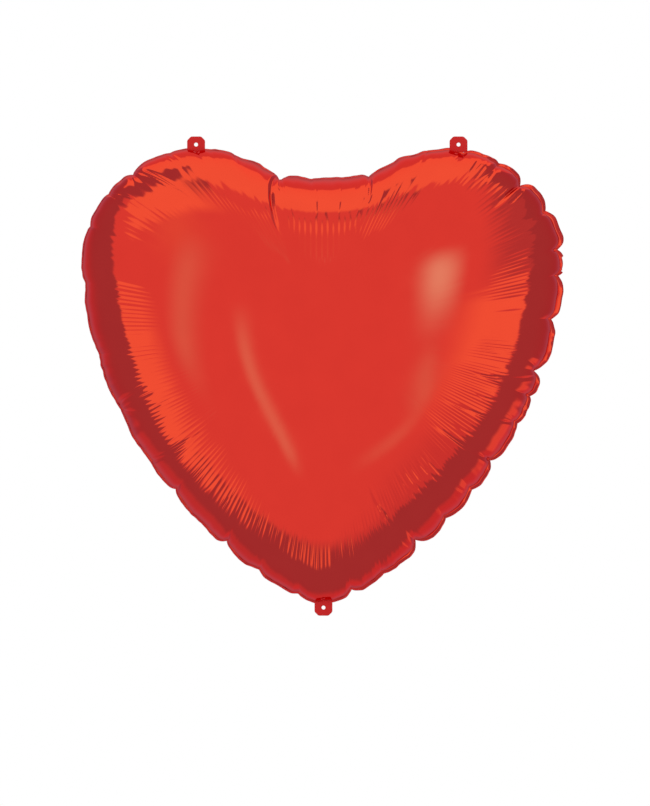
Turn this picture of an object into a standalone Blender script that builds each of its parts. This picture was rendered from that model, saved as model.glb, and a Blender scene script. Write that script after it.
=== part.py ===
# Heart-shaped foil balloon, inflated: two film panels sealed along a flat rim, three punched
# hanging tabs, and an inflation neck with a self-closing valve folded back behind the rim.
# Metres; +Z up the heart's centre line, the front film faces -Y, origin at the lower tab's hole.
import math

import bmesh
import bpy
import numpy as np

for old in list(bpy.data.objects):
    bpy.data.objects.remove(old, do_unlink=True)

MM = 0.001
GAP = 0.3 * MM                  # air left between any two pieces

# Inflated body, rim to rim
HEART_WIDTH = 408.0 * MM        # across the widest part
HEART_HEIGHT = 384.1 * MM       # rounded tip to the tops of the lobes
HEART_THICKNESS = 168.0 * MM    # crown of the front film to crown of the back film
CLEFT_DEPTH = 25.0 * MM         # lobe tops down to the middle of the cleft
WIDEST_SHARE = 0.763            # height of the widest part, as a share of the heart's height
LOBE_SHARE = 0.54               # lobe top's distance from the centre line, share of the half width
CROWN_SHARE = 0.60              # height of the crown, as a share of the heart's height

# How full each outline arc is at its ends: shares of the half width or of the height
TIP_FULLNESS = 0.196
FLANK_FULLNESS = 0.448
SHOULDER_FULLNESS = 0.128
LOBE_OUTER_FULLNESS = 0.205
LOBE_INNER_FULLNESS = 0.282
CLEFT_FULLNESS = 0.315

# Film and fused edge
FILM_WALL = 0.4 * MM
SEAL_WIDTH = 5.0 * MM
SEAL_THICKNESS = 0.6 * MM
HALF_COLUMNS = 48               # outline steps from the tip to the cleft on each side
RINGS = 7                       # steps from the film's edge to its crown

# Hanging tabs
TAB_WIDTH = 15.2 * MM
TAB_LENGTH = 11.1 * MM
TAB_CORNER = 2.6 * MM
TAB_HOLE_RADIUS = 1.85 * MM
TAB_HOLE_FROM_ROOT = 4.5 * MM
TAB_ROOT_CLEARANCE = SEAL_THICKNESS / 2 + 0.1 * MM
LEFT_TAB_DRIFT = 2.0 * MM       # how far the inflated film has drawn each upper tab to +X
RIGHT_TAB_DRIFT = 4.5 * MM
HOLE_STEPS = 20
CORNER_STEPS = 4

# Inflation neck and valve
NECK_WIDTH = 12.0 * MM
NECK_LENGTH = 45.0 * MM
NECK_SHARE = 0.7485             # height of the neck, as a share of the heart's height
PLY = 0.3 * MM                  # neck and valve film
NECK_SEAL_WIDTH = 2.0 * MM
NECK_LEAN = math.radians(20)    # how far the folded neck leans in over the back film
VALVE_LENGTH = 38.0 * MM        # valve film inside the neck
LIP_LENGTH = 46.0 * MM          # valve lips inside the body

# Sizes that follow
HALF_WIDTH = HEART_WIDTH / 2
TIP_Z = TAB_HOLE_FROM_ROOT + TAB_ROOT_CLEARANCE
TOP_Z = TIP_Z + HEART_HEIGHT
CLEFT_Z = TOP_Z - CLEFT_DEPTH
WIDEST_Z = TIP_Z + WIDEST_SHARE * HEART_HEIGHT
CROWN_Z = TIP_Z + CROWN_SHARE * HEART_HEIGHT
NECK_Z = TIP_Z + NECK_SHARE * HEART_HEIGHT
LOBE_X = LOBE_SHARE * HALF_WIDTH
NECK_STACK = 4 * PLY + 3 * GAP
FILM_EDGE_INSET = SEAL_WIDTH + GAP


def material(name, colour, metallic, roughness):
    shade = bpy.data.materials.new(name)
    shade.use_nodes = True
    surface = shade.node_tree.nodes["Principled BSDF"]
    surface.inputs["Base Color"].default_value = (*colour, 1.0)
    surface.inputs["Metallic"].default_value = metallic
    surface.inputs["Roughness"].default_value = roughness
    return shade


RED_FILM = (0.72, 0.03, 0.03)
TAB_RED = (0.60, 0.03, 0.03)
CLEAR_FILM = (0.86, 0.87, 0.88)


def add_piece(name, verts, faces, look):
    mesh = bpy.data.meshes.new(name)
    mesh.from_pydata([tuple(v) for v in verts], [], [tuple(f) for f in faces])
    work = bmesh.new()
    work.from_mesh(mesh)
    bmesh.ops.recalc_face_normals(work, faces=work.faces)
    work.to_mesh(mesh)
    work.free()
    mesh.materials.append(material(name, *look))
    piece = bpy.data.objects.new(name, mesh)
    bpy.context.scene.collection.objects.link(piece)
    return piece


def set_origin(piece, point):
    shift = np.array(point)
    for vert in piece.data.vertices:
        vert.co = np.array(vert.co) - shift
    piece.location = point


def box_faces():
    return [(0, 3, 2, 1), (4, 5, 6, 7), (0, 1, 5, 4), (1, 2, 6, 5), (2, 3, 7, 6), (3, 0, 4, 7)]


def add_box(name, low, high, look):
    x0, y0, z0 = low
    x1, y1, z1 = high
    verts = [(x0, y0, z0), (x1, y0, z0), (x1, y1, z0), (x0, y1, z0)]
    verts += [(x, y, z1) for x, y, z in verts]
    return add_piece(name, verts, box_faces(), look)


def arc(p0, p1, p2, p3, steps=400):
    t = np.linspace(0, 1, steps)[:, None]
    p0, p1, p2, p3 = (np.array(p) for p in (p0, p1, p2, p3))
    return (1 - t) ** 3 * p0 + 3 * (1 - t) ** 2 * t * p1 + 3 * (1 - t) * t * t * p2 + t**3 * p3


# The rim from the tip up the +X side to the cleft: flank, shoulder and lobe arcs, tangent where
# they meet, then stepped evenly along its length.
def half_outline():
    w, h = HALF_WIDTH, HEART_HEIGHT
    tip, side, lobe, cleft = (0, TIP_Z), (w, WIDEST_Z), (LOBE_X, TOP_Z), (0, CLEFT_Z)
    flank = arc(tip, (TIP_FULLNESS * w, TIP_Z), (w, WIDEST_Z - FLANK_FULLNESS * h), side)
    shoulder = arc(side, (w, WIDEST_Z + SHOULDER_FULLNESS * h),
                   (LOBE_X + LOBE_OUTER_FULLNESS * w, TOP_Z), lobe)
    inner = arc(lobe, (LOBE_X - LOBE_INNER_FULLNESS * w, TOP_Z),
                (CLEFT_FULLNESS * w, CLEFT_Z), cleft)
    path = np.vstack([flank, shoulder[1:], inner[1:]])
    along = np.concatenate([[0], np.cumsum(np.linalg.norm(np.diff(path, axis=0), axis=1))])
    steps = np.linspace(0, along[-1], HALF_COLUMNS + 1)
    return np.column_stack([np.interp(steps, along, path[:, k]) for k in (0, 1)])


# Closed rim, counter-clockwise seen from the front, and its outward unit normals.
def full_outline():
    right = half_outline()
    left = right[-2:0:-1] * (-1, 1)
    rim = np.vstack([right, left])
    tangent = np.roll(rim, -1, axis=0) - np.roll(rim, 1, axis=0)
    tangent /= np.linalg.norm(tangent, axis=1)[:, None]
    normal = np.column_stack([tangent[:, 1], -tangent[:, 0]])
    return rim, normal


# Bulge of an inflated disc of inextensible film at radius share r: integral of sqrt(sin a) / 2
# from sin a = r^2 up to a right angle, scaled to 1 at the crown.
def bulge(r):
    a = np.linspace(0, math.pi / 2, 2001)
    rise = np.sqrt(np.sin(a))
    total = np.concatenate([[0], np.cumsum((rise[1:] + rise[:-1]) / 2)])
    return 1 - np.interp(np.arcsin(np.clip(r * r, 0, 1)), a, total / total[-1])


# Rings of plan points from the film's edge to the crown, closest together at the edge.
def plan_rings(edge):
    crown = np.array([0, CROWN_Z])
    shares = np.cos(np.linspace(0, math.pi / 2, RINGS + 1)[:-1])
    return [crown + share * (edge - crown) for share in shares], crown


# Height of the film over its plan: solves "Laplacian = -1" with zero at the edge on the plan's
# triangles, then reads the disc's bulge at the radius share that has the same solution.
def film_heights(rings, crown):
    count = len(rings[0])
    plan = np.vstack(rings + [crown[None]])
    last = len(plan) - 1
    tris = []
    for k in range(RINGS):
        for i in range(count):
            j = (i + 1) % count
            a, b = k * count + i, k * count + j
            if k < RINGS - 1:
                tris += [(a, b, b + count), (a, b + count, a + count)]
            else:
                tris.append((a, b, last))
    stiff = np.zeros((len(plan), len(plan)))
    load = np.zeros(len(plan))
    for tri in tris:
        p = plan[list(tri)]
        area = abs(np.linalg.det(np.array([p[1] - p[0], p[2] - p[0]]))) / 2
        sides = np.array([p[2] - p[1], p[0] - p[2], p[1] - p[0]])
        stiff[np.ix_(tri, tri)] += sides @ sides.T / (4 * area)
        load[list(tri)] += area / 3
    free = np.arange(count, len(plan))
    level = np.zeros(len(plan))
    level[free] = np.linalg.solve(stiff[np.ix_(free, free)], load[free])
    share = np.sqrt(1 - level / level.max())
    return plan, HEART_THICKNESS / 2 * bulge(share)


# Domed film panel: an outer skin, an inner skin one wall behind it along the normals, and a flat
# edge that faces the other panel. side is -1 for the front and +1 for the back.
def add_film(name, side, rim, normal):
    rings, crown = plan_rings(rim - FILM_EDGE_INSET * normal)
    plan, height = film_heights(rings, crown)
    count = len(rim)
    outer = np.column_stack([plan[:, 0], side * (GAP / 2 + height), plan[:, 1]])
    grid = outer[:-1].reshape(RINGS, count, 3)
    inward = np.concatenate([grid[1:], np.broadcast_to(outer[-1], (1, count, 3))])
    outward = np.concatenate([grid[:1], grid[:-1]])
    across = np.cross(np.roll(grid, -1, axis=1) - np.roll(grid, 1, axis=1), inward - outward)
    across *= np.where(across[..., 1:2] * side < 0, -1, 1)
    across /= np.linalg.norm(across, axis=2)[..., None]
    across[0] = np.column_stack([normal[:, 0], np.zeros(count), normal[:, 1]])
    inner = np.vstack([(grid - FILM_WALL * across).reshape(-1, 3),
                       outer[-1] - (0, side * FILM_WALL, 0)])
    base = len(outer)
    last = base - 1
    faces = []
    for i in range(count):
        j = (i + 1) % count
        for k in range(RINGS - 1):
            a, b = k * count + i, k * count + j
            faces.append((a, b, b + count, a + count))
            faces.append((base + a, base + a + count, base + b + count, base + b))
        a, b = (RINGS - 1) * count + i, (RINGS - 1) * count + j
        faces.append((a, b, last))
        faces.append((base + b, base + a, base + last))
        faces.append((i, base + i, base + j, j))
    return add_piece(name, np.vstack([outer, inner]), faces, (RED_FILM, 1.0, 0.2))


# Flat fused band round the rim, left open where the neck passes.
def add_edge_seal(rim, normal):
    inset = rim - SEAL_WIDTH * normal
    count = len(rim)
    half = SEAL_THICKNESS / 2
    loops = [(rim, -half), (rim, half), (inset, half), (inset, -half)]
    verts = np.vstack([np.column_stack([p[:, 0], np.full(count, y), p[:, 1]]) for p, y in loops])
    faces = []
    for i in range(count):
        j = (i + 1) % count
        for k in range(4):
            a, b = k * count, (k + 1) % 4 * count
            faces.append((a + i, a + j, b + j, b + i))
    band = add_piece("edge_seal", verts, faces, (RED_FILM, 1.0, 0.3))
    reach = NECK_WIDTH / 2 + GAP
    cutter = add_box("neck_opening",
                     (HALF_WIDTH - 3 * SEAL_WIDTH, -SEAL_THICKNESS, NECK_Z - reach),
                     (HALF_WIDTH + SEAL_WIDTH, SEAL_THICKNESS, NECK_Z + reach),
                     (RED_FILM, 1.0, 0.3))
    cut_away(band, cutter)
    return band


def cut_away(piece, cutter):
    cut = piece.modifiers.new("cut", "BOOLEAN")
    cut.operation = "DIFFERENCE"
    cut.solver = "EXACT"
    cut.object = cutter
    bpy.context.view_layer.update()
    ready = piece.evaluated_get(bpy.context.evaluated_depsgraph_get())
    shape = bpy.data.meshes.new_from_object(ready)
    piece.modifiers.clear()
    piece.data = shape
    bpy.data.objects.remove(cutter, do_unlink=True)


# Tab outline, root edge first and standing away from the rim, as (across, away) pairs.
def tab_outline():
    half, corner, length = TAB_WIDTH / 2, TAB_CORNER, TAB_LENGTH
    right = [(half - corner + corner * math.cos(a), length - corner + corner * math.sin(a))
             for a in np.linspace(0, math.pi / 2, CORNER_STEPS + 1)]
    left = [(-x, z) for x, z in reversed(right)]
    return [(-half, 0.0), (half, 0.0)] + right + left


# Root edge of a tab centred at centre_x, one clearance beyond the rim's farthest point under it.
def tab_root(rim, centre_x, away):
    across = np.linspace(centre_x - TAB_WIDTH / 2, centre_x + TAB_WIDTH / 2, 31)
    half = rim[: HALF_COLUMNS + 1]
    turn = int(np.argmax(half[:, 0]))
    run = half[turn:][::-1] if away > 0 else half[: turn + 1]
    heights = np.interp(np.abs(across), run[:, 0], run[:, 1])
    return away * (np.max(away * heights) + TAB_ROOT_CLEARANCE)


# Tab with a punched hole: both faces are bridged from the outline to the hole's circle.
def add_tab(name, rim, centre_x, away):
    root_z = tab_root(rim, centre_x, away)
    outline = [(centre_x + x, root_z + away * z) for x, z in tab_outline()]
    hole_z = root_z + away * TAB_HOLE_FROM_ROOT
    turns = [2 * math.pi * k / HOLE_STEPS for k in range(HOLE_STEPS)]
    hole = [(centre_x + TAB_HOLE_RADIUS * math.cos(a), hole_z + TAB_HOLE_RADIUS * math.sin(a))
            for a in turns]
    work = bmesh.new()
    loops = []
    for ring in (outline, hole):
        verts = [work.verts.new((x, -SEAL_THICKNESS / 2, z)) for x, z in ring]
        loops += [work.edges.new((verts[k], verts[k - 1])) for k in range(len(verts))]
    bmesh.ops.triangle_fill(work, use_beauty=True, edges=loops)
    sheet = bmesh.ops.extrude_face_region(work, geom=list(work.faces))
    raised = [v for v in sheet["geom"] if isinstance(v, bmesh.types.BMVert)]
    bmesh.ops.translate(work, verts=raised, vec=(0, SEAL_THICKNESS, 0))
    bmesh.ops.recalc_face_normals(work, faces=work.faces)
    mesh = bpy.data.meshes.new(name)
    work.to_mesh(mesh)
    work.free()
    mesh.materials.append(material(name, TAB_RED, 0.6, 0.4))
    tab = bpy.data.objects.new(name, mesh)
    bpy.context.scene.collection.objects.link(tab)
    set_origin(tab, (centre_x, 0.0, root_z))
    return tab


# Turns a piece's mesh about the upright line through its origin.
def lean(piece, angle):
    c, s = math.cos(angle), math.sin(angle)
    for vert in piece.data.vertices:
        x, y, z = vert.co
        vert.co = (c * x - s * y, s * x + c * y, z)


# Neck folded back from the rim over the back film. Its plies are stacked along X before it
# leans in, the front film outermost; the side seals close it above and below the valve films.
def add_neck():
    fold_x = HALF_WIDTH - NECK_STACK / 2
    root_y = -SEAL_THICKNESS / 2
    end_y = root_y + NECK_LENGTH
    half = NECK_WIDTH / 2
    inside = half - NECK_SEAL_WIDTH
    outermost = HALF_WIDTH
    step = PLY + GAP
    low, high = NECK_Z - half, NECK_Z + half
    red = (RED_FILM, 1.0, 0.25)
    clear = (CLEAR_FILM, 0.0, 0.3)
    pieces = [
        add_box("neck_film_front", (outermost - PLY, root_y, low), (outermost, end_y, high), red),
        add_box("neck_film_back", (outermost - 3 * step - PLY, root_y, low),
                (outermost - 3 * step, end_y, high), red),
    ]
    valve_end = root_y + VALVE_LENGTH
    for name, layer in (("valve_film_front", 1), ("valve_film_back", 2)):
        face = outermost - layer * step
        pieces.append(add_box(name, (face - PLY, root_y, NECK_Z - inside + GAP),
                              (face, valve_end, NECK_Z + inside - GAP), clear))
    seal_out, seal_in = outermost - step, outermost - 2 * step - PLY
    for name, z0, z1 in (("neck_side_seal_lower", low, NECK_Z - inside),
                         ("neck_side_seal_upper", NECK_Z + inside, high)):
        pieces.append(add_box(name, (seal_in, root_y, z0), (seal_out, end_y, z1), red))
    for piece in pieces:
        set_origin(piece, (fold_x, 0.0, NECK_Z))
        lean(piece, NECK_LEAN)


# Valve lips: two flat films inside the body, rooted just behind the film's edge at the neck.
def add_lips(rim, normal):
    right = rim[: HALF_COLUMNS + 1] - (FILM_EDGE_INSET + FILM_WALL) * normal[: HALF_COLUMNS + 1]
    half = NECK_WIDTH / 2 - NECK_SEAL_WIDTH - GAP
    flank = (right[:, 1] > CROWN_Z / 2) & (right[:, 0] > LOBE_X)
    spread = np.linspace(NECK_Z - half, NECK_Z + half, 5)
    root_x = np.interp(spread, right[flank, 1], right[flank, 0]).min() - 2 * GAP
    for name, side in (("valve_lip_front", -1), ("valve_lip_back", 1)):
        near, far = sorted((side * GAP / 2, side * (GAP / 2 + PLY)))
        lip = add_box(name, (root_x - LIP_LENGTH, near, NECK_Z - half),
                      (root_x, far, NECK_Z + half), (CLEAR_FILM, 0.0, 0.3))
        set_origin(lip, (root_x, side * (GAP + PLY) / 2, NECK_Z))


rim, normal = full_outline()
add_film("front_film", -1, rim, normal)
add_film("back_film", 1, rim, normal)
add_edge_seal(rim, normal)
add_tab("tab_upper_left", rim, LEFT_TAB_DRIFT - LOBE_X, 1)
add_tab("tab_upper_right", rim, LOBE_X + RIGHT_TAB_DRIFT, 1)
add_tab("tab_lower", rim, 0.0, -1)
add_neck()
add_lips(rim, normal)
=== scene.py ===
import math
import bmesh
import bpy
import numpy as np
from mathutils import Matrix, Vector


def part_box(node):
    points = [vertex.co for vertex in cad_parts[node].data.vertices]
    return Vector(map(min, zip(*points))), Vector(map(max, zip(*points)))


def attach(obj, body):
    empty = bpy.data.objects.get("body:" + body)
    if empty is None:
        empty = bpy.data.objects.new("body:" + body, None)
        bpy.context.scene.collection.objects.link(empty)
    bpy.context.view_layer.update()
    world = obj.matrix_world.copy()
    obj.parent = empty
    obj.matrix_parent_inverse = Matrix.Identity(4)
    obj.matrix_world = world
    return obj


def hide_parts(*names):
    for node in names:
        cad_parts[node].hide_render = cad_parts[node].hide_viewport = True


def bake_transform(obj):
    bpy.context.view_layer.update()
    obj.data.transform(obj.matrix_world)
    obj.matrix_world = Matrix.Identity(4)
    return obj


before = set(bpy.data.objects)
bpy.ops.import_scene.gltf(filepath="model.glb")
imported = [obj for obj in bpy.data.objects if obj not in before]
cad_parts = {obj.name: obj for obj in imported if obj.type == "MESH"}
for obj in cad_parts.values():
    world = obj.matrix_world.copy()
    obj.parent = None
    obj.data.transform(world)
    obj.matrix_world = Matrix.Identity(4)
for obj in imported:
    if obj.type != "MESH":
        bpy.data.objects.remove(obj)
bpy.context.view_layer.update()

mm = 0.001

# Straight-on, level, through a long lens: what is framed, and from how far
shot = dict(centreX=1.3 * mm, centreZ=174 * mm, distance=4.0, frameHeight=684.3 * mm)


# Focal length = sensor width * distance / framed height, so the distance alone sets the perspective
def makeCamera(s):
    lens = bpy.data.cameras.new("camera")
    lens.lens = lens.sensor_width * s["distance"] / s["frameHeight"]
    lens.clip_end = 100
    cam = bpy.data.objects.new("camera", lens)
    cam.location = (s["centreX"], -s["distance"], s["centreZ"])
    cam.rotation_euler = (math.pi / 2, 0, 0)
    bpy.context.scene.collection.objects.link(cam)
    bpy.context.scene.camera = cam


makeCamera(shot)
bpy.context.scene.view_settings.view_transform = "Standard"
print("camera placed")


# sRGB hex to linear, with alpha 1: c / 12.92 up to 0.04045, else ((c + 0.055) / 1.055) ^ 2.4
def hexColour(text):
    c = np.array([int(text[i:i + 2], 16) for i in (1, 3, 5)]) / 255
    lin = np.where(c <= 0.04045, c / 12.92, ((c + 0.055) / 1.055) ** 2.4)
    return (*lin.tolist(), 1.0)


# Adds a node: settings are its properties, inputs are socket values or links from other sockets
def addNode(tree, kind, inputs=None, **settings):
    node = tree.nodes.new(kind)
    for key, value in settings.items():
        setattr(node, key, value)
    for key, value in (inputs or {}).items():
        if isinstance(value, bpy.types.NodeSocket):
            tree.links.new(value, node.inputs[key])
        else:
            node.inputs[key].default_value = value
    return node


# A node material with its tree and its main shader
def newMaterial(name):
    m = bpy.data.materials.new(name)
    m.use_nodes = True
    tree = m.node_tree
    return m, tree, tree.nodes["Principled BSDF"]


# Metallised polyester film, red lacquer over aluminium: a mirror with a red tint, and only the
# faintest haze from handling
def metallisedRedFilm():
    m, tree, shader = newMaterial("metallised_red_film")
    place = addNode(tree, "ShaderNodeTexCoord").outputs["Object"]
    haze = addNode(tree, "ShaderNodeTexNoise", {"Vector": place, "Scale": 45.0, "Detail": 3.0})
    rough = addNode(tree, "ShaderNodeMapRange", {"Value": haze.outputs[0], "From Min": 0.3,
                                                 "From Max": 0.7, "To Min": 0.055, "To Max": 0.085})
    tone = addNode(tree, "ShaderNodeMix", {"Factor": haze.outputs[0], 6: hexColour("#D9382F"),
                                           7: hexColour("#DF3B31")}, data_type="RGBA")
    grain = addNode(tree, "ShaderNodeTexNoise", {"Vector": place, "Scale": 900.0, "Detail": 2.0})
    bump = addNode(tree, "ShaderNodeBump", {"Height": grain.outputs[0], "Strength": 0.02,
                                            "Distance": 0.05 * mm})
    shader.inputs["Metallic"].default_value = 1.0
    shader.inputs["Specular Tint"].default_value = (1.0, 0.5, 0.52, 1.0)  # keeps the edge red
    tree.links.new(tone.outputs[2], shader.inputs["Base Color"])
    tree.links.new(rough.outputs[0], shader.inputs["Roughness"])
    tree.links.new(bump.outputs[0], shader.inputs["Normal"])
    return m


# Fused film of the tabs: the heat has dulled it to a deeper, satin red
def heatSealedFilm():
    m, tree, shader = newMaterial("heat_sealed_red_film")
    place = addNode(tree, "ShaderNodeTexCoord").outputs["Object"]
    mottle = addNode(tree, "ShaderNodeTexNoise", {"Vector": place, "Scale": 400.0, "Detail": 3.0})
    tone = addNode(tree, "ShaderNodeMix", {"Factor": mottle.outputs[0], 6: hexColour("#C7272A"),
                                           7: hexColour("#D22D2E")}, data_type="RGBA")
    bump = addNode(tree, "ShaderNodeBump", {"Height": mottle.outputs[0], "Strength": 0.15,
                                            "Distance": 0.1 * mm})
    shader.inputs["Metallic"].default_value = 1.0
    shader.inputs["Specular Tint"].default_value = (1.0, 0.4, 0.4, 1.0)
    shader.inputs["Roughness"].default_value = 0.5
    tree.links.new(tone.outputs[2], shader.inputs["Base Color"])
    tree.links.new(bump.outputs[0], shader.inputs["Normal"])
    return m


# Clear polyethylene of the valve: thin, slightly milky, soft sheen
def clearValveFilm():
    m, tree, shader = newMaterial("clear_valve_film")
    place = addNode(tree, "ShaderNodeTexCoord").outputs["Object"]
    cloud = addNode(tree, "ShaderNodeTexNoise", {"Vector": place, "Scale": 220.0})
    rough = addNode(tree, "ShaderNodeMapRange", {"Value": cloud.outputs[0], "To Min": 0.18,
                                                 "To Max": 0.35})
    shader.inputs["Base Color"].default_value = hexColour("#EDEEEF")
    shader.inputs["Transmission Weight"].default_value = 0.7
    tree.links.new(rough.outputs[0], shader.inputs["Roughness"])
    return m


# The filled heart seen from the front, how finely it is drawn, and its panels as cut
heart = dict(
    width=408.0 * mm, height=384.1 * mm, thickness=167.0 * mm, cleft=25.0 * mm, tipZ=4.9 * mm,
    widest=0.763, lobe=0.54, crown=0.60,                  # shares of height, half width, height
    tipFull=0.196, flankFull=0.448, shoulderFull=0.128,   # how full each outline arc is
    lobeOuterFull=0.205, lobeInnerFull=0.282, cleftFull=0.315,
    columns=2000, rows=48,                                # grid of a panel
    solveColumns=144, solveRows=24,                       # coarser grid its level is solved on
    flatWidth=0.457, flatHeight=0.430,                    # nominal 18 inch heart, in metres
    flatArea=0.157,   # set near the built film's 0.159; this outline at that width holds 0.1455
)


# Cubic curve: (1-t)^3 p0 + 3 (1-t)^2 t p1 + 3 (1-t) t^2 p2 + t^3 p3
def bezier(p0, p1, p2, p3, steps=600):
    t = np.linspace(0, 1, steps)[:, None]
    return ((1 - t) ** 3 * np.array(p0) + 3 * (1 - t) ** 2 * t * np.array(p1)
            + 3 * (1 - t) * t * t * np.array(p2) + t ** 3 * np.array(p3))


# Rim as (x, z) for evenly spaced shares of its length: three tangent arcs from the tip up the +X
# side to the cleft, and the same mirrored
def rimPoints(h, count):
    w, top, side = h["width"] / 2, h["tipZ"] + h["height"], h["tipZ"] + h["widest"] * h["height"]
    lobe, cleft = h["lobe"] * w, top - h["cleft"]
    flank = bezier((0, h["tipZ"]), (h["tipFull"] * w, h["tipZ"]),
                   (w, side - h["flankFull"] * h["height"]), (w, side))
    shoulder = bezier((w, side), (w, side + h["shoulderFull"] * h["height"]),
                      (lobe + h["lobeOuterFull"] * w, top), (lobe, top))
    inner = bezier((lobe, top), (lobe - h["lobeInnerFull"] * w, top),
                   (h["cleftFull"] * w, cleft), (0, cleft))
    half = np.vstack([flank, shoulder[1:], inner[1:]])
    loop = np.vstack([half, (half * (-1, 1))[-2::-1]])
    along = np.concatenate([[0], np.cumsum(np.linalg.norm(np.diff(loop, axis=0), axis=1))])
    at = np.linspace(0, along[-1], count, endpoint=False)
    return np.column_stack([np.interp(at, along, loop[:, k]) for k in (0, 1)]), along[-1]


# Fused edge: a flat band outside the seam, two films thick, leaning back out of the heart's plane
# by tilt = (share round the rim, degrees) and fluttering a little
edge = dict(
    width=5.0 * mm, thickness=0.14 * mm, underlap=0.8 * mm, flutter=0.5 * mm,
    neckWidth=0.9 * mm, neckFrom=0.2874, neckTo=0.2982,
    tilt=[(0.0, 66), (0.03, 58), (0.06, 50), (0.10, 48), (0.16, 46), (0.22, 40), (0.25, 34),
          (0.30, 34), (0.33, 38), (0.36, 48), (0.40, 64), (0.44, 76), (0.50, 78), (0.62, 78),
          (0.70, 72), (0.84, 68), (0.95, 64)],
)


# Lean of the band in radians: straight lines between the given shares, joined round the tip
def edgeTilt(e, share):
    at, angle = np.array(e["tilt"]).T
    return np.radians(np.interp(share, at, angle, period=1))


# Unit normals of a closed loop: the step from the point before to the point after, turned clockwise
def outwardNormals(loop):
    d = np.roll(loop, -1, axis=0) - np.roll(loop, 1, axis=0)
    d /= np.linalg.norm(d, axis=1)[:, None]
    return np.column_stack([d[:, 1], -d[:, 0]])


# Seam of the films: the rim moved in by the band's width as seen from the front
def seamLine(h, rim):
    inset = edge["width"] * np.cos(edgeTilt(edge, np.arange(len(rim)) / len(rim)))
    return rim - inset[:, None] * outwardNormals(rim)


# Bulge of an inflated disc at radius share r: half the integral of sqrt(sin a) from sin a = r^2
# to a right angle, as a share of its value at the crown
def bulge(r):
    a = np.linspace(0, math.pi / 2, 2001)
    rise = np.sqrt(np.sin(a))
    total = np.concatenate([[0], np.cumsum((rise[1:] + rise[:-1]) / 2)])
    return 1 - np.interp(np.arcsin(np.clip(r * r, 0, 1)), a, total / total[-1])


# Membrane level over the plan: Laplacian = -1, zero on the rim, on triangles between the rings,
# solved ring by ring outwards from the crown (block elimination)
def membraneLevel(plan, crown):
    rows, cols = plan.shape[:2]
    p = np.concatenate([plan.reshape(-1, 2), crown[None]])
    i = np.arange(cols)
    j = (i + 1) % cols
    tris = []
    for k in range(rows - 1):
        a, b = k * cols + i, k * cols + j
        tris += [np.stack([a, b, b + cols], 1), np.stack([a, b + cols, a + cols], 1)]
    last = (rows - 1) * cols
    tris.append(np.stack([last + i, last + j, np.full(cols, rows * cols)], 1))
    tris = np.concatenate(tris)
    q = p[tris]
    side = np.stack([q[:, 2] - q[:, 1], q[:, 0] - q[:, 2], q[:, 1] - q[:, 0]], 1)
    area = np.abs(side[:, 0, 0] * side[:, 1, 1] - side[:, 0, 1] * side[:, 1, 0]) / 2
    local = np.einsum("tik,tjk->tij", side, side) / (4 * area)[:, None, None]
    load = np.zeros(len(p))
    np.add.at(load, tris, (area / 3)[:, None])
    n = len(p)
    stiff = np.zeros((n, n), np.float32)
    np.add.at(stiff, (tris[:, :, None], tris[:, None, :]), local.astype(np.float32))
    level = np.zeros(n)
    free = slice(cols, None)
    level[free] = np.linalg.solve(stiff[free, free].astype(float), load[free])
    return level[:-1].reshape(rows, cols), level[-1]


# Fourier interpolation round the rim, exact for a smooth closed curve
def refineRound(values, count):
    spectrum = np.fft.rfft(values, axis=-1)
    full = np.zeros((*values.shape[:-1], count // 2 + 1), complex)
    full[..., :spectrum.shape[-1]] = spectrum
    return np.fft.irfft(full, count, axis=-1) * (count / values.shape[-1])


# Catmull-Rom interpolation of whole rows at evenly spaced knots
def interpolateRows(knots, rows, at):
    x = at / (knots[1] - knots[0])
    k = np.clip(np.floor(x).astype(int), 0, len(knots) - 2)
    t = (x - k)[:, None]
    padded = np.vstack([2 * rows[:1] - rows[1:2], rows, 2 * rows[-1:] - rows[-2:-1]])
    a, b, c, d = (padded[k + o] for o in range(4))
    return 0.5 * (2 * b + (c - a) * t + (2 * a - 5 * b + 4 * c - d) * t ** 2
                  + (3 * b - a - 3 * c + d) * t ** 3)


# Smooth dome of the front panel as (row, column, xyz), row 0 on the seam and the last row on the
# crown: spokes run from crown to seam at shares cos(angle), height = bulge of sqrt(1 - level)
def smoothDome(h):
    crown = np.array([0, h["tipZ"] + h["crown"] * h["height"]])
    coarse, length = rimPoints(h, h["solveColumns"])
    knots = np.linspace(0, math.pi / 2, h["solveRows"] + 1)
    seam = seamLine(h, coarse)
    plan = crown + np.cos(knots)[:-1, None, None] * (seam - crown)
    level, top = membraneLevel(plan, crown)
    level = np.vstack([level, np.full((1, level.shape[1]), top)]) / top
    ratio = level / np.maximum(np.sin(knots) ** 2, 1e-12)[:, None]
    ratio[0] = 2 * ratio[1] - ratio[2]
    angle = np.linspace(0, math.pi / 2, h["rows"] + 1)
    ratio = interpolateRows(knots, refineRound(ratio, h["columns"]), angle)
    level = (ratio * (np.sin(angle) ** 2)[:, None]).clip(0, 1)
    height = h["thickness"] / 2 * bulge(np.sqrt(1 - level))
    rim, _ = rimPoints(h, h["columns"])
    seam = seamLine(h, rim)
    flat = crown + np.cos(angle)[:, None, None] * (seam - crown)
    return np.stack([flat[..., 0], -height, flat[..., 1]], -1), rim, length


# Outward unit normals of a dome grid, in the plane of the seam along row 0
def domeNormals(dome, rim):
    around = np.roll(dome, -1, axis=1) - np.roll(dome, 1, axis=1)
    inward = np.gradient(dome, axis=0)
    n = np.cross(around, inward)
    n *= np.where(n[..., 1:2] > 0, -1, 1)
    n[-1] = (0, -1, 0)
    n /= np.linalg.norm(n, axis=-1, keepdims=True)
    flat = outwardNormals(rim)
    n[0] = np.stack([flat[:, 0], np.zeros(len(rim)), flat[:, 1]], -1)
    return n


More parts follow.
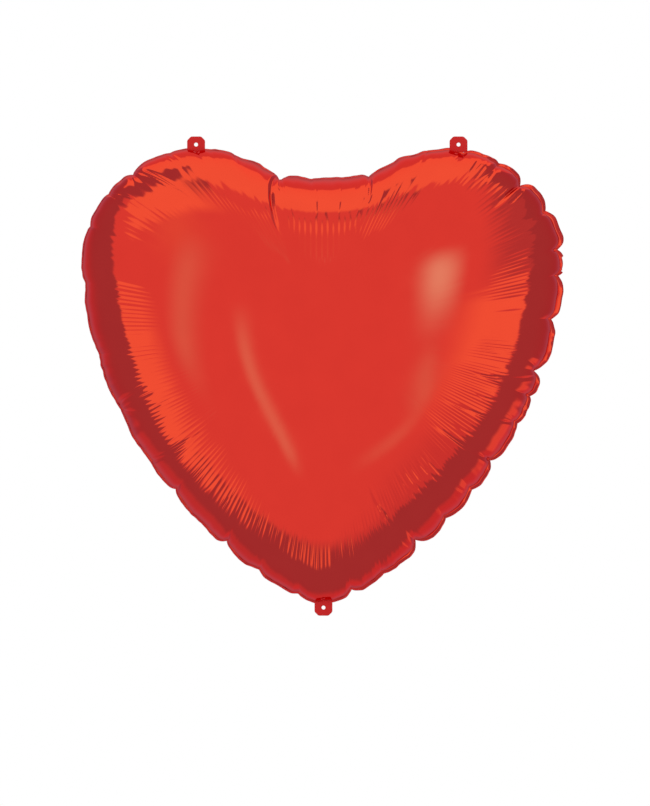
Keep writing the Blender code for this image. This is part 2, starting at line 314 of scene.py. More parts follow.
# Puckers of the film, in mm. Notches of the rim: at = share of the way round from the tip, up the +X
# side first; offset of the rim there; crease = depth of the valley running in from it, reach = how
# far it runs, lean = its sideways drift per unit run
puckers = dict(
    arch=1.6, archFade=20.0,      # how far the rim bows out between notches, and how soon that fades
    combDepth=0.06, ruck=0.14,    # fine wrinkles and soft rucks
    wave=1.1, waveFade=18.0,      # the seam's wander out of plane
    nibble=0.3,                   # roughness of the rim
    crownCalm=20.0,               # smooth zone round the crown
    # Ribs across the cleft: depth, pitch, half width of the patch, run of its middle, half length
    ribs=dict(depth=0.15, pitch=4.7, half=35.0, middle=98.5, length=20.5),
    # Comb of fine wrinkles: share of the rim, strength, the run from the seam of its middle and
    # half width, and its pitch along the rim
    combs=[(0.00, 1.3, 58, 30, 4.2), (0.05, 1.4, 56, 30, 4.0), (0.10, 1.0, 72, 26, 3.8),
           (0.15, 0.9, 82, 26, 3.6), (0.19, 1.1, 84, 28, 3.4), (0.22, 1.2, 80, 26, 3.4),
           (0.245, 0.9, 78, 22, 3.4), (0.262, 0.2, 72, 20, 3.6), (0.28, 0.8, 72, 20, 3.8),
           (0.295, 0.9, 72, 20, 4.0), (0.33, 1.2, 62, 20, 4.2), (0.355, 1.2, 60, 22, 4.4),
           (0.385, 2.0, 42, 18, 4.6), (0.398, 0.5, 56, 16, 5.2), (0.415, 0.6, 88, 18, 5.4),
           (0.428, 1.7, 92, 20, 5.6), (0.445, 1.9, 90, 20, 6.0), (0.462, 0.4, 88, 20, 6.4),
           (0.48, 0.0, 88, 20, 6.6), (0.535, 0.0, 108, 22, 6.6), (0.55, 0.5, 110, 22, 6.4),
           (0.562, 1.8, 112, 24, 6.0), (0.585, 1.6, 112, 24, 5.6), (0.597, 0.6, 84, 18, 4.8),
           (0.62, 0.2, 66, 12, 4.4), (0.64, 0.9, 66, 16, 4.6), (0.665, 1.0, 68, 16, 4.8),
           (0.685, 0.1, 64, 14, 4.8), (0.71, 0.2, 64, 16, 4.8), (0.722, 1.5, 70, 22, 4.6),
           (0.76, 1.6, 68, 24, 4.6), (0.80, 1.4, 70, 24, 4.6), (0.84, 1.4, 74, 26, 4.6),
           (0.88, 1.7, 74, 28, 4.6), (0.93, 1.7, 66, 28, 4.6), (0.97, 1.4, 62, 26, 4.4)],
    notches=[
        dict(at=0.000, offset=0.0, crease=0.4, reach=18, lean=0.0),
        dict(at=0.021, offset=-3.0, crease=0.6, reach=22, lean=0.1),
        dict(at=0.045, offset=-0.8, crease=0.4, reach=18, lean=0.0),
        dict(at=0.076, offset=-6.2, crease=1.6, reach=60, lean=-0.1),
        dict(at=0.101, offset=-1.8, crease=0.6, reach=24, lean=0.1),
        dict(at=0.127, offset=-1.5, crease=0.7, reach=26, lean=0.1),
        dict(at=0.150, offset=-4.6, crease=1.5, reach=58, lean=0.0),
        dict(at=0.181, offset=-1.2, crease=0.8, reach=40, lean=0.1),
        dict(at=0.201, offset=-2.6, crease=0.9, reach=44, lean=0.0),
        dict(at=0.218, offset=-7.0, crease=1.5, reach=46, lean=0.2),
        dict(at=0.255, offset=-5.2, crease=1.0, reach=22, lean=0.0),
        dict(at=0.285, offset=-4.2, crease=0.8, reach=18, lean=0.0),
        dict(at=0.303, offset=-4.4, crease=0.8, reach=20, lean=0.0),
        dict(at=0.332, offset=-3.6, crease=1.0, reach=30, lean=-0.1),
        dict(at=0.357, offset=-6.0, crease=1.5, reach=48, lean=-0.2),
        dict(at=0.378, offset=-0.9, crease=0.8, reach=26, lean=0.0),
        dict(at=0.403, offset=-1.4, crease=1.3, reach=22, lean=0.1),
        dict(at=0.428, offset=0.2, crease=0.6, reach=18, lean=0.0),
        dict(at=0.470, offset=-1.8, crease=1.5, reach=30, lean=-0.2),
        dict(at=0.487, offset=1.0, crease=0.5, reach=16, lean=0.0),
        dict(at=0.508, offset=0.5, crease=0.6, reach=30, lean=0.0),
        dict(at=0.528, offset=-5.2, crease=2.2, reach=48, lean=0.1),
        dict(at=0.562, offset=0.6, crease=0.7, reach=24, lean=0.0),
        dict(at=0.588, offset=-0.5, crease=0.9, reach=20, lean=0.0),
        dict(at=0.606, offset=0.8, crease=0.6, reach=24, lean=0.0),
        dict(at=0.635, offset=-2.2, crease=1.3, reach=36, lean=0.2),
        dict(at=0.656, offset=-0.6, crease=0.6, reach=20, lean=0.0),
        dict(at=0.681, offset=-1.2, crease=0.8, reach=20, lean=0.0),
        dict(at=0.720, offset=-0.3, crease=0.8, reach=22, lean=0.0),
        dict(at=0.769, offset=-0.7, crease=0.8, reach=24, lean=0.0),
        dict(at=0.808, offset=-0.2, crease=1.2, reach=52, lean=0.2),
        dict(at=0.848, offset=1.6, crease=1.1, reach=70, lean=0.1),
        dict(at=0.873, offset=-2.6, crease=1.1, reach=34, lean=0.0),
        dict(at=0.905, offset=0.8, crease=0.7, reach=26, lean=0.1),
        dict(at=0.922, offset=-3.4, crease=1.3, reach=40, lean=0.0),
        dict(at=0.951, offset=-1.1, crease=0.7, reach=24, lean=0.0),
        dict(at=0.982, offset=-0.4, crease=0.5, reach=18, lean=0.0),
    ],
    # Long fine creases: share of the rim and run from the seam where each starts and ends, its
    # depth and half width
    threads=[
        dict(start=(0.073, 2), end=(0.053, 104), depth=1.10, width=1.2),
        dict(start=(0.0935, 46), end=(0.084, 98), depth=0.48, width=0.95),
        dict(start=(0.099, 44), end=(0.092, 96), depth=0.52, width=0.95),
        dict(start=(0.1045, 48), end=(0.099, 90), depth=0.42, width=0.9),
        dict(start=(0.116, 40), end=(0.1055, 96), depth=0.52, width=0.95),
        dict(start=(0.124, 6), end=(0.114, 90), depth=0.55, width=1.0),
        dict(start=(0.151, 0), end=(0.143, 98), depth=1.30, width=1.3),
        dict(start=(0.1595, 44), end=(0.153, 88), depth=0.26, width=0.75),
        dict(start=(0.182, 0), end=(0.169, 104), depth=0.75, width=1.0),
        dict(start=(0.192, 40), end=(0.184, 92), depth=0.30, width=0.75),
        dict(start=(0.217, 0), end=(0.203, 92), depth=1.30, width=1.3),
        dict(start=(0.2185, 10), end=(0.209, 74), depth=0.40, width=0.8),
        dict(start=(0.232, 40), end=(0.224, 84), depth=0.24, width=0.75),
        dict(start=(0.359, 4), end=(0.3545, 66), depth=1.60, width=1.5),
        dict(start=(0.3625, 12), end=(0.3585, 62), depth=0.45, width=0.8),
        dict(start=(0.352, 20), end=(0.349, 58), depth=0.35, width=0.8),
        dict(start=(0.378, 14), end=(0.372, 56), depth=0.40, width=0.9),
        dict(start=(0.385, 22), end=(0.379, 62), depth=0.45, width=0.9),
        dict(start=(0.391, 20), end=(0.386, 58), depth=0.40, width=0.9),
        dict(start=(0.403, 0), end=(0.401, 26), depth=0.60, width=0.9),
        dict(start=(0.472, 0), end=(0.462, 66), depth=1.80, width=1.6),
        dict(start=(0.488, 36), end=(0.487, 70), depth=0.40, width=0.8),
        dict(start=(0.505, 30), end=(0.506, 72), depth=0.45, width=0.8),
        dict(start=(0.5265, 0), end=(0.5555, 104), depth=2.40, width=1.9),
        dict(start=(0.606, 6), end=(0.603, 34), depth=0.45, width=0.9),
        dict(start=(0.611, 6), end=(0.608, 30), depth=0.40, width=0.8),
        dict(start=(0.628, 18), end=(0.619, 66), depth=1.00, width=1.2),
        dict(start=(0.633, 8), end=(0.624, 62), depth=0.45, width=0.8),
        dict(start=(0.655, 2), end=(0.649, 44), depth=0.50, width=0.9),
        dict(start=(0.8045, 0), end=(0.7985, 62), depth=1.50, width=1.4),
        dict(start=(0.808, 20), end=(0.804, 84), depth=0.32, width=0.8),
        dict(start=(0.818, 48), end=(0.815, 88), depth=0.26, width=0.75),
        dict(start=(0.846, 14), end=(0.8555, 92), depth=0.60, width=0.9),
        dict(start=(0.850, 24), end=(0.859, 84), depth=0.34, width=0.8),
        dict(start=(0.888, 30), end=(0.894, 84), depth=0.26, width=0.75),
        dict(start=(0.906, 44), end=(0.913, 82), depth=0.34, width=0.75),
        dict(start=(0.922, 4), end=(0.934, 70), depth=0.40, width=0.9),
    ],
)


# Smooth periodic noise round the rim: random cosines of the wave counts low..high, unit spread
def roundNoise(rng, share, low, high):
    k = np.arange(low, high + 1)
    phase = rng.uniform(0, 2 * math.pi, len(k))
    size = rng.normal(0, 1, len(k)) / math.sqrt(len(k) / 2)
    return (size[:, None] * np.cos(2 * math.pi * k[:, None] * share + phase[:, None])).sum(0)


# Offset of the seam along its normal: cusped notches joined by rounded arches,
# arch + (notch - arch) * |2t - 1|^3 for t from one notch to the next
def rimOffset(p, share):
    at = np.array([n["at"] for n in p["notches"]] + [1.0])
    off = np.array([n["offset"] for n in p["notches"]] + [p["notches"][0]["offset"]])
    k = np.clip(np.searchsorted(at, share, side="right") - 1, 0, len(at) - 2)
    t = (share - at[k]) / (at[k + 1] - at[k])
    notch = off[k] + (off[k + 1] - off[k]) * t
    rng = np.random.default_rng(3)
    rough = p["nibble"] * (roundNoise(rng, share, 24, 70) + 0.3 * roundNoise(rng, share, 70, 190))
    return notch + (p["arch"] - notch) * (1 - np.abs(2 * t - 1) ** 3) + rough


# Height over the smooth dome, in mm, for (row, column): arches fading in from the seam, a sharp
# valley at each notch, long fine creases, a regular comb of wrinkles over the shoulder and soft
# rucks between
def puckerHeight(p, share, run, spread, length, seed):
    rng = np.random.default_rng(seed)
    height = rimOffset(p, share)[None] * np.exp(-run / p["archFade"])
    for n in p["notches"]:
        gap = (share - n["at"] + 0.5) % 1 - 0.5
        across = gap[None] * length / mm * spread - n["lean"] * run
        fade = np.exp(-(run / n["reach"]) ** 2.5) * (1 - np.exp(-(run + 2) / 5))
        width = 1.1 + 0.05 * run
        height -= n["crease"] * fade * (np.exp(-np.abs(across) / width)
                                        - 0.45 * np.exp(-(across / (3.5 * width)) ** 2))
    for t in p["threads"]:
        (s0, r0), (s1, r1) = t["start"], t["end"]
        part = (run - r0) / (r1 - r0)
        gap = (share[None] - s0 - (s1 - s0) * part + 0.5) % 1 - 0.5
        across = gap * length / mm * spread
        fade = np.clip(part, 0, 1) * np.clip(1 - part, 0, 1) * 4
        height -= t["depth"] * fade ** 0.6 * (np.exp(-(across / t["width"]) ** 2)
                                              - 0.3 * np.exp(-(across / (4 * t["width"])) ** 2))
    drift = 1.2 * roundNoise(rng, share, 3, 26) + 0.15 * roundNoise(rng, share, 40, 130)
    at, *columns = np.array(p["combs"]).T
    strength, middle, wide, pitch = (np.interp(share, at, column, period=1) for column in columns)
    strength = strength * (1 + 0.25 * roundNoise(rng, share, 20, 60)).clip(0.3, 1.7)
    middle = middle + 3 * roundNoise(rng, share, 12, 60)
    window = np.exp(-((run - middle) / wide) ** 4)
    phase = 2 * math.pi * (np.cumsum(length / mm / len(share) / pitch) + drift / pitch)[None]
    height += p["combDepth"] * strength * window * (np.cos(phase) + 0.3 * np.cos(2 * phase))
    r = p["ribs"]
    across = ((share - 0.5) * length / mm)[None] * spread
    patch = np.exp(-(across / r["half"]) ** 8 - ((run - r["middle"]) / r["length"]) ** 6)
    height += r["depth"] * patch * np.cos(2 * math.pi * across / r["pitch"])
    for centre in (0, 22, 45, 70):
        zone = np.exp(-((run - centre) / 16) ** 2)
        height += p["ruck"] * zone * 0.5 * roundNoise(rng, share, 20, 110)
        height += p["ruck"] * zone * 0.12 * roundNoise(rng, share, 110, 220)
    return height


# One film panel: the dome pushed along its normals, its seam waving out of plane.
# side is 1 for the front and -1 for the mirrored back
def filmGrid(h, p, side, seed):
    dome, rim, length = smoothDome(h)
    normal = domeNormals(dome, rim)
    share = np.arange(h["columns"]) / h["columns"]
    step = np.linalg.norm(np.diff(dome, axis=0), axis=-1) / mm
    run = np.concatenate([np.zeros((1, h["columns"])), np.cumsum(step, axis=0)])
    around = np.linalg.norm(np.roll(dome, -1, axis=1) - dome, axis=-1)
    spread = around / around[0]
    lift = puckerHeight(p, share, run, spread, length, seed) * mm
    lift[-1] = 0
    lift *= (1 - np.exp(-((run[-1] - run) / p["crownCalm"]) ** 2))
    film = dome + lift[..., None] * normal
    film[..., 1] *= side
    film[..., 1] += seamWave(p, share)[None] * np.exp(-run / p["waveFade"])
    return film


# How far the seam stands out of the heart's plane: smooth noise of 9 to 36 waves round the rim
def seamWave(p, share):
    return p["wave"] * mm * roundNoise(np.random.default_rng(5), share, 9, 36)


# A smooth-shaded piece, its place in its mesh
def newPiece(name, points, faces, material):
    mesh = bpy.data.meshes.new(name)
    mesh.from_pydata(points.tolist(), [], faces)
    mesh.polygons.foreach_set("use_smooth", np.ones(len(mesh.polygons), bool))
    mesh.materials.append(material)
    mesh.validate()
    piece = bpy.data.objects.new(name, mesh)
    bpy.context.scene.collection.objects.link(piece)
    return piece


# Quads of a grid that closes round its columns; turn reverses them
def ringQuads(rows, cols, turn=False):
    k, i = np.meshgrid(np.arange(rows - 1), np.arange(cols), indexing="ij")
    j = (i + 1) % cols
    quads = np.stack([k * cols + i, k * cols + j, (k + 1) * cols + j, (k + 1) * cols + i], -1)
    quads = quads.reshape(-1, 4)
    return quads[:, ::-1] if turn else quads


# A panel's mesh: quads from row to row, and a fan from the last row to the one point at the crown
def filmPiece(name, grid, material, turn):
    rows, cols = grid.shape[0] - 1, grid.shape[1]
    points = np.vstack([grid[:-1].reshape(-1, 3), grid[-1, :1]])
    i = (rows - 1) * cols + np.arange(cols)
    j = (rows - 1) * cols + (np.arange(cols) + 1) % cols
    fan = np.stack([i, j, np.full(cols, rows * cols)], 1)
    fan = fan[:, ::-1] if turn else fan
    return newPiece(name, points, ringQuads(rows, cols, turn).tolist() + fan.tolist(), material)


# Quads of a grid that closes both ways
def torusQuads(rows, cols):
    i = np.arange(cols)
    j = (i + 1) % cols
    last = (rows - 1) * cols
    close = np.stack([last + i, last + j, j, i], 1)
    return np.vstack([ringQuads(rows, cols), close]).tolist()


# Turns a closed piece's faces outwards
def faceOutwards(piece):
    work = bmesh.new()
    work.from_mesh(piece.data)
    bmesh.ops.recalc_face_normals(work, faces=work.faces)
    work.to_mesh(piece.data)
    work.free()


# Band section carried round the seam: four steps out along the tilted band on its front face, and
# back along its rear face. The band narrows where the neck leaves.
def edgeBand(h, p, e, material):
    rim, _ = rimPoints(h, h["columns"])
    out = outwardNormals(rim)
    share = np.arange(h["columns"]) / h["columns"]
    tilt = edgeTilt(e, share)
    seam = seamLine(h, rim) + (rimOffset(p, share) * mm)[:, None] * out
    flutter = e["flutter"] * roundNoise(np.random.default_rng(9), share, 30, 120)
    atNeck = (np.clip((share - e["neckFrom"]) / 0.0012, 0, 1)
              * np.clip((e["neckTo"] - share) / 0.0012, 0, 1))
    width = e["width"] + (e["neckWidth"] - e["width"]) * atNeck
    flat, rise = np.cos(tilt) * width, np.sin(tilt) * width
    front, rear = [], []
    for part, sway in ((-e["underlap"] / e["width"], 0), (0.3, 0.3), (0.7, 0.7), (1.0, 1.0)):
        ahead = seam + (flat * part)[:, None] * out
        depth = np.maximum(part, 0) * rise + seamWave(p, share) + sway * flutter
        for side, loops in ((1, front), (-1, rear)):
            skin = side * e["thickness"] / 2
            place = ahead + (skin * np.sin(tilt))[:, None] * out
            loops.append(np.stack([place[:, 0], depth - skin * np.cos(tilt), place[:, 1]], -1))
    grid = np.stack(front + rear[::-1])
    piece = newPiece("edge_seal_film", grid.reshape(-1, 3), torusQuads(*grid.shape[:2]), material)
    faceOutwards(piece)
    return piece


# Hanging tab: heat-sealed film cut with clipped corners and a punched hole, slightly curled. tuck =
# how far its root runs in over the rim, bend = half the length that gives at its root
tab = dict(width=15.2 * mm, length=11.1 * mm, corner=3.0 * mm, hole=1.65 * mm, holeAt=4.2 * mm,
           tuck=2.3 * mm, thickness=0.3 * mm, curl=0.35 * mm, around=120, bend=1.1 * mm,
           ripple=0.06 * mm)


# Rings from the hole's circle to the outline: place = (1 - t) * circle + t * outline, over the
# front and back again; depth = curl * (height / length)^2 and a soft ripple
def tabPiece(name, node, t, material):
    low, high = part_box(node)
    away = 1 if low.z > 0.1 else -1
    root = low.z if away > 0 else high.z
    centreX = (low.x + high.x) / 2
    half, cut, soft = t["width"] / 2, t["corner"], 0.35 * t["corner"]
    corners = np.array([(-half, -t["tuck"]), (half, -t["tuck"]), (half, t["length"] - cut - soft),
                        (half - 0.3 * soft, t["length"] - cut),
                        (half - cut, t["length"] - 0.3 * soft),
                        (half - cut - soft, t["length"])])
    outline = np.vstack([corners, corners[:1:-1] * (-1, 1), corners[:1]])
    along = np.concatenate([[0], np.cumsum(np.linalg.norm(np.diff(outline, axis=0), axis=1))])
    at = np.linspace(0, along[-1], t["around"], endpoint=False)
    outer = np.column_stack([np.interp(at, along, outline[:, k]) for k in (0, 1)])
    middle = np.array([0, t["holeAt"]])
    angle = np.arctan2(outer[:, 1] - middle[1], outer[:, 0])
    inner = middle + t["hole"] * np.column_stack([np.cos(angle), np.sin(angle)])
    shares = np.array([0, 0.06, 0.2, 0.4, 0.6, 0.8, 0.95, 1.0])[:, None, None]
    rings = inner + shares * (outer - inner)
    skin = t["thickness"] / 2 * np.array([0.8, 1, 1, 1, 1, 1, 0.9, 0.55])[:, None]
    depth = t["curl"] * (rings[..., 1] / t["length"]).clip(0, 2) ** 2
    depth += t["ripple"] * np.sin(rings[..., 0] / (2.2 * mm)) * np.cos(rings[..., 1] / (2.7 * mm))
    sides = [np.stack([centreX + rings[..., 0], depth + s * skin, root + away * rings[..., 1]], -1)
             for s in (-1, 1)]
    grid = np.concatenate([sides[0], sides[1][::-1]])
    piece = newPiece(name, grid.reshape(-1, 3), torusQuads(*grid.shape[:2]), material)
    faceOutwards(piece)
    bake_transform(piece)
    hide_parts(node)


# Thin closed slab round a middle surface: two skins half a thickness off it along its normals,
# joined at the edges
def slab(name, middle, thickness, material):
    rows, cols = middle.shape[:2]
    normal = np.cross(np.gradient(middle, axis=0), np.gradient(middle, axis=1))
    normal /= np.linalg.norm(normal, axis=-1, keepdims=True)
    skins = [middle + s * thickness / 2 * normal for s in (1, -1)]
    grid = np.concatenate([skins[0], skins[1][:, ::-1]], axis=1)
    quads = ringQuads(rows, 2 * cols).tolist()
    for row in (0, (rows - 1) * 2 * cols):
        i = np.arange(cols - 1)
        quads += np.stack([row + i, row + i + 1, row + 2 * cols - 2 - i, row + 2 * cols - 1 - i],
                          1).tolist()
    piece = newPiece(name, grid.reshape(-1, 3), quads, material)
    faceOutwards(piece)
    return piece


# Filling neck: a flat tube of two films from inside the seam out to the fold, then back behind
# the rim, with crimped side seals and a clear self-closing valve inside. blendFrom and blendTo are
# how far behind the rim it starts and ends to follow the fold
neck = dict(width=12.0 * mm, seal=2.0 * mm, length=45.0 * mm, lean=20.0, ply=0.12 * mm,
            bow=0.72 * mm, closed=0.16 * mm, rootX=197.8 * mm, foldX=202.95 * mm,
            turnRadius=1.1 * mm, crimp=1.0 * mm, crimpDepth=0.05 * mm, valveLength=38.0 * mm,
            valvePly=0.10 * mm, blendFrom=1.05 * mm, blendTo=2.6 * mm)


# Middle line of the neck in plan as (x, y) and its sideways direction, for distances s from the
# root: straight out to the fold line, round a small arc, then straight back at the lean
def neckPath(n, foldX, s):
    turn = math.radians(90 + n["lean"])
    radius = n["turnRadius"]
    reach = radius * math.tan(turn / 2)
    straight = foldX - n["rootX"] - reach
    arc = np.clip((s - straight) / radius, 0, turn)
    after = np.maximum(s - straight - radius * turn, 0)
    x = n["rootX"] + np.minimum(s, straight) + radius * np.sin(arc) + after * math.cos(turn)
    y = radius * (1 - np.cos(arc)) + after * math.sin(turn)
    return np.stack([x, y], -1), np.stack([np.sin(arc), -np.cos(arc)], -1), straight + radius * turn


# A surface of the neck: distance s along, z across, off = its distance out from the middle line
def neckSurface(n, foldX, midZ, s, z, off):
    path, out, _ = neckPath(n, foldX, s)
    flat = path[:, None] + off[..., None] * out[:, None]
    return np.stack([flat[..., 0], flat[..., 1], np.broadcast_to(midZ + z, off.shape)], -1)


# Films bowed by closed + bow * cos^0.7 across the tube, seals with a sine crimp along them, and the
# valve's two films bowed by a flatter cosine, all as offsets from the same middle line
def makeNeck(n, film, clear):
    low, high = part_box("neck_film_front")
    midZ, foldX = (low.z + high.z) / 2, n["foldX"]
    half, inside = n["width"] / 2, n["width"] / 2 - n["seal"]
    _, _, foldAt = neckPath(n, foldX, np.zeros(1))
    total = foldAt + n["length"]
    s = np.concatenate([np.linspace(0, foldAt - 2.4 * mm, 8, endpoint=False),
                        np.linspace(foldAt - 2.4 * mm, foldAt + 1 * mm, 16, endpoint=False),
                        np.linspace(foldAt + 1 * mm, total, 60)])
    rng = np.random.default_rng(31)
    pieces = []
    z = np.linspace(-inside - 0.1 * mm, inside + 0.1 * mm, 25)
    lens = np.cos(math.pi / 2 * np.clip(np.abs(z) / inside, 0, 1)) ** 0.7
    fine = (s / mm)[:, None]
    for name, node, side in (("neck_film_outer", "neck_film_front", 1),
                             ("neck_film_inner", "neck_film_back", -1)):
        ripple = sum(0.05 * np.sin(fine / w + rng.uniform(0, 6) + (z / mm) * k)
                     for w, k in ((1.1, 0.5), (1.9, -0.4), (3.1, 0.3)))
        apart = n["closed"] + n["bow"] * lens * (1 + ripple)
        surface = neckSurface(n, foldX, midZ, s, z, side * apart)
        pieces.append((slab(name, surface, n["ply"], film), node, "red_film"))
    for name, node, side in (("neck_seal_upper", "neck_side_seal_upper", 1),
                             ("neck_seal_lower", "neck_side_seal_lower", -1)):
        z = side * np.linspace(inside - 0.05 * mm, half, 7)
        crimp = n["crimpDepth"] * np.sin(2 * math.pi * s / n["crimp"])[:, None] * np.ones(7)
        surface = neckSurface(n, foldX, midZ, s, z, crimp)
        pieces.append((slab(name, surface, 2 * n["closed"], film), node, "red_film"))
    z = np.linspace(-inside + 0.4 * mm, inside - 0.4 * mm, 13)
    s = foldAt + np.linspace(0.6 * mm, n["valveLength"], 60)
    for name, node, side in (("valve_film_outer", "valve_film_front", 1),
                             ("valve_film_inner", "valve_film_back", -1)):
        off = side * (0.14 * mm + 0.10 * mm * np.cos(math.pi * z / (2 * inside)))
        off = off * (1 + 0.15 * np.sin(s / (4 * mm)))[:, None]
        surface = neckSurface(n, foldX, midZ, s, z, off)
        pieces.append((slab(name, surface, n["valvePly"], clear), node, "clear_film"))
    for piece, node, finish in pieces:
        if finish == "clear_film":
            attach(piece, "neck")
        else:
            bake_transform(piece)
        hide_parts(node)


# Valve lips inside the body: two clear films lying together, curling apart by the cube of the way
# along to their ends, with a small cosine ripple
def makeLips(n, clear):
    for name, node, body, side in (("lip_front", "valve_lip_front", "front_lip", -1),
                                   ("lip_back", "valve_lip_back", "back_lip", 1)):
        low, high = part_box(node)
        x = np.linspace(high.x, low.x, 60)
        z = np.linspace(low.z, high.z, 13)
        part = ((high.x - x) / (high.x - low.x))[:, None]
        across = ((z - (low.z + high.z) / 2) / (high.z - low.z))[None]
        curl = 0.10 * mm * part ** 3 + 0.02 * mm * np.cos(6 * across + 9 * part)
        y = (low.y + high.y) / 2 + side * curl
        middle = np.stack(np.broadcast_arrays(x[:, None], y, z[None]), -1)
        piece = slab(name, middle, n["valvePly"], clear)
        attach(piece, body)
        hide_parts(node)


filmRed = metallisedRedFilm()
tabRed = heatSealedFilm()
valveClear = clearValveFilm()

front = filmPiece("front_panel", filmGrid(heart, puckers, 1, 21), filmRed, False)
print("front panel built")
back = filmPiece("back_panel", filmGrid(heart, puckers, -1, 22), filmRed, True)
print("back panel built")
band = edgeBand(heart, puckers, edge, filmRed)
print("edge band built")
for piece, node in ((front, "front_film"), (back, "back_film"), (band, "edge_seal")):
    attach(piece, "envelope")
    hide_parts(node)

for name, node, body in (("hanging_tab_left", "tab_upper_left", "upper_left_tab"),
                         ("hanging_tab_right", "tab_upper_right", "upper_right_tab"),
                         ("hanging_tab_lower", "tab_lower", "lower_tab")):
    tabPiece(name, node, tab, tabRed)
print("tabs built")
makeNeck(neck, filmRed, valveClear)
makeLips(neck, valveClear)
print("neck and valve built")

# Reflected surroundings: cards placed by how far they lie to the right (x) and up (z) from the
# camera's direction, in degrees of turn, with half sizes, softness of the left, right, lower and
# upper edges, turn, and light level (red, green, blue). Later cards cover earlier ones.
lamp, wall = (1.22, 1.78, 1.09), (0.97, 0.94, 0.92)
dusk, behind = (0.50, 0.57, 0.78), (0.48, 0.09, 0.10)   # the dim part of the room, and what lies behind
behindFrom, behindTo = 139, 169                         # degrees over which the light turns to behind
cards = [
    dict(name="low_wall", x=0, z=-146, half=(70, 30), soft=(20, 20, 8, 9),
         turn=0, level=(0.76, 0.63, 0.78)),
    dict(name="low_left_wall", x=-95, z=-102, half=(46, 22), soft=(12, 12, 8, 7),
         turn=-43, level=(0.68, 0.66, 0.82)),
    dict(name="low_right_wall", x=108, z=-96, half=(44, 29), soft=(12, 12, 8, 7),
         turn=48, level=(0.76, 0.63, 0.78)),
    dict(name="high_wall", x=0, z=148, half=(118, 34), soft=(9, 9, 3, 2),
         turn=0, level=(0.89, 0.82, 0.80)),
    dict(name="low_dusk", x=0, z=-158, half=(50, 16), soft=(14, 14, 5, 5),
         turn=0, level=(0.58, 0.58, 0.78)),
    dict(name="left_wall", x=-150, z=22, half=(26, 70), soft=(9, 16, 14, 14),
         turn=0, level=(0.64, 0.60, 0.77)),
    dict(name="room", x=0.5, z=2, half=(76.5, 62), soft=(2, 2, 6, 7), turn=0, level=wall),
    dict(name="room_top", x=20, z=72, half=(26, 24), soft=(2, 3, 6, 3), turn=0, level=wall),
    dict(name="high_glow", x=-28, z=36, half=(9, 12), soft=(12, 10, 12, 10),
         turn=0, level=(1.03, 1.3, 1.0)),
    dict(name="right_dim", x=62, z=42, half=(17, 31), soft=(13, 2, 8, 4),
         turn=0, level=(0.63, 0.69, 0.86)),
    dict(name="low_right_dim", x=50, z=-48, half=(21, 22), soft=(13, 2, 3, 9),
         turn=0, level=(0.82, 0.74, 0.84)),
    dict(name="right_dusk", x=84, z=-50, half=(11, 15), soft=(1.5, 2, 3, 2), turn=0, level=dusk),
    dict(name="low_right_dusk", x=64, z=-66.5, half=(20.5, 44), soft=(2, 2, 3, 3),
         turn=-56, level=dusk),
    dict(name="low_left_dusk", x=-37, z=-67.5, half=(15, 14), soft=(2, 3, 3, 3), turn=-20, level=dusk),
    dict(name="left_lamp", x=-62.5, z=-27, half=(13.5, 29), soft=(1.5, 9, 4, 2), turn=1, level=lamp),
    dict(name="left_high_lamp", x=-36, z=56, half=(26, 14), soft=(3, 7, 4, 2), turn=22, level=lamp),
    dict(name="top_lamp", x=14, z=99, half=(33, 22.5), soft=(1.5, 2.5, 2, 1.5), turn=0, level=lamp),
    dict(name="top_right_lamp", x=46, z=116, half=(18, 8), soft=(2, 2, 1.5, 1.5), turn=0, level=lamp),
    dict(name="top_left_lamp", x=-42, z=104.5, half=(37, 11.5), soft=(2, 2, 1.5, 1.5),
         turn=3, level=lamp),
    dict(name="right_lamp", x=54, z=-6, half=(22.5, 12), soft=(12, 1.5, 6, 2.5), turn=-4, level=lamp),
    dict(name="right_low_lamp", x=60, z=-20, half=(16, 8), soft=(10, 1.5, 2.5, 4),
         turn=-26, level=lamp),
    dict(name="low_lamp", x=-9, z=-68, half=(8, 8), soft=(3, 3, 2, 4), turn=0, level=(1.15, 1.6, 1.03)),
    dict(name="low_right_gleam", x=110, z=-62, half=(16, 11), soft=(8, 8, 5, 5),
         turn=60, level=(1.0, 1.25, 1.02)),
    dict(name="softbox", x=19.5, z=15, half=(5, 8.5), soft=(4, 6, 9, 6),
         turn=0, level=(1.08, 4.8, 3.9)),
    dict(name="strip_left", x=-28, z=8, half=(4, 20), soft=(6, 6, 8, 12),
         turn=-20, level=(0.98, 2.05, 1.65)),
    dict(name="strip_mid", x=-9, z=-9, half=(0.9, 13), soft=(2, 2.4, 6, 6),
         turn=4, level=(1.04, 3.5, 2.7)),
    dict(name="strip_right", x=21.5, z=-9, half=(2.2, 7), soft=(5, 4, 5, 5),
         turn=32, level=(0.99, 2.2, 1.75)),
    dict(name="strip_low", x=18, z=-20, half=(6, 1.4), soft=(6, 4, 4, 4),
         turn=18, level=(0.99, 2.1, 1.7)),
]


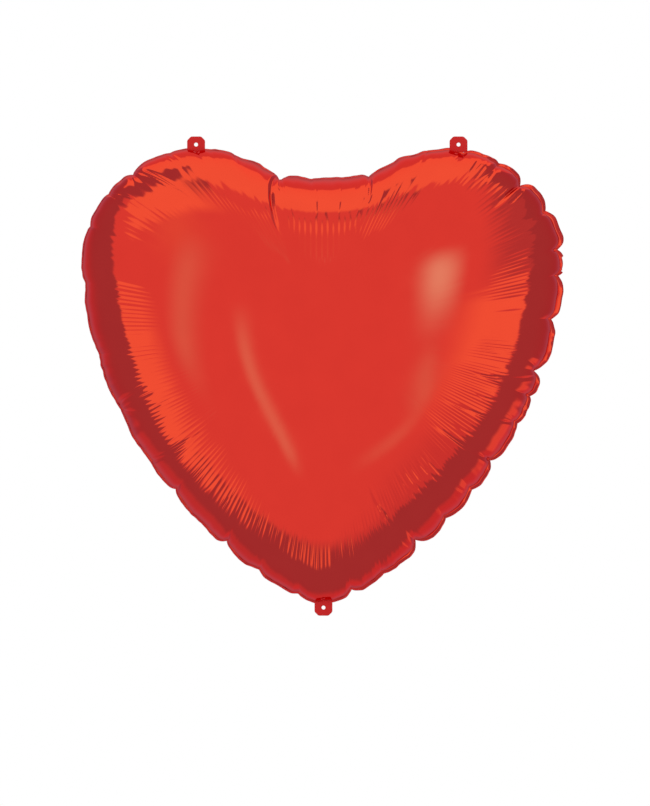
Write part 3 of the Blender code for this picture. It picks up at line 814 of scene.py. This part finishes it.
# World light looked up by turn from the camera's direction: x and z are that turn's two parts, and
# each card is a product of four smooth steps
def makeSurroundings(cards):
    world = bpy.data.worlds.new("studio")
    bpy.context.scene.world = world
    world.use_nodes = True
    tree = world.node_tree
    tree.nodes.clear()
    ray = addNode(tree, "ShaderNodeTexCoord").outputs["Generated"]
    part = addNode(tree, "ShaderNodeSeparateXYZ", {0: ray}).outputs

    def calc(operation, *inputs):
        return addNode(tree, "ShaderNodeMath", dict(enumerate(inputs)), operation=operation).outputs[0]

    def step(value, low, high):
        return addNode(tree, "ShaderNodeMapRange", {
            "Value": value, "From Min": float(low), "From Max": float(high)},
            interpolation_type="SMOOTHSTEP").outputs[0]

    away = calc("ARCCOSINE", calc("MULTIPLY", part["Y"], -1.0))
    side = calc("SQRT", calc("ADD", calc("MULTIPLY", part["X"], part["X"]),
                             calc("MULTIPLY", part["Z"], part["Z"])))
    perUnit = calc("DIVIDE", calc("MULTIPLY", away, 180 / math.pi), calc("MAXIMUM", side, 1e-5))
    mapX = calc("MULTIPLY", part["X"], perUnit)
    mapZ = calc("MULTIPLY", part["Z"], perUnit)
    light = addNode(tree, "ShaderNodeRGB").outputs[0]
    light.default_value = (*dusk, 1.0)
    for c in cards:
        dx, dz = calc("SUBTRACT", mapX, float(c["x"])), calc("SUBTRACT", mapZ, float(c["z"]))
        cosT, sinT = math.cos(math.radians(c["turn"])), math.sin(math.radians(c["turn"]))
        u = calc("ADD", calc("MULTIPLY", dx, cosT), calc("MULTIPLY", dz, sinT))
        w = calc("SUBTRACT", calc("MULTIPLY", dz, cosT), calc("MULTIPLY", dx, sinT))
        (halfU, halfW), (left, right, low, high) = c["half"], c["soft"]
        across = calc("MULTIPLY", step(u, -halfU - left, -halfU + left),
                      step(u, halfU + right, halfU - right))
        upright = calc("MULTIPLY", step(w, -halfW - low, -halfW + low),
                       step(w, halfW + high, halfW - high))
        light = addNode(tree, "ShaderNodeMix", {"Factor": calc("MULTIPLY", across, upright), 6: light,
                                                7: (*c["level"], 1.0)}, data_type="RGBA").outputs[2]
    far = step(calc("MULTIPLY", away, 180 / math.pi), behindFrom, behindTo)
    light = addNode(tree, "ShaderNodeMix", {"Factor": far, 6: light, 7: (*behind, 1.0)},
                    data_type="RGBA").outputs[2]
    glow = addNode(tree, "ShaderNodeBackground", {"Color": light, "Strength": 1.0}).outputs[0]
    paper = addNode(tree, "ShaderNodeBackground", {"Color": (1, 1, 1, 1), "Strength": 1.0}).outputs[0]
    mirrored = addNode(tree, "ShaderNodeLightPath").outputs["Is Glossy Ray"]
    mix = addNode(tree, "ShaderNodeMixShader", {0: mirrored, 1: paper, 2: glow}).outputs[0]
    addNode(tree, "ShaderNodeOutputWorld", {"Surface": mix})


makeSurroundings(cards)


# Plain pale floor well below the floating balloon, kept out of its reflections
def makeFloor():
    mesh = bpy.data.meshes.new("floor")
    a = np.linspace(0, 2 * math.pi, 64, endpoint=False)
    mesh.from_pydata(np.stack([6 * np.cos(a), 6 * np.sin(a), np.full(64, -1.4)], 1).tolist(), [],
                     [list(range(64))])
    m, tree, shader = newMaterial("pale_floor")
    shader.inputs["Base Color"].default_value = hexColour("#F4F4F2")
    shader.inputs["Roughness"].default_value = 0.9
    mesh.materials.append(m)
    floor = bpy.data.objects.new("floor", mesh)
    bpy.context.scene.collection.objects.link(floor)
    floor.visible_glossy = False


makeFloor()
print("studio set")
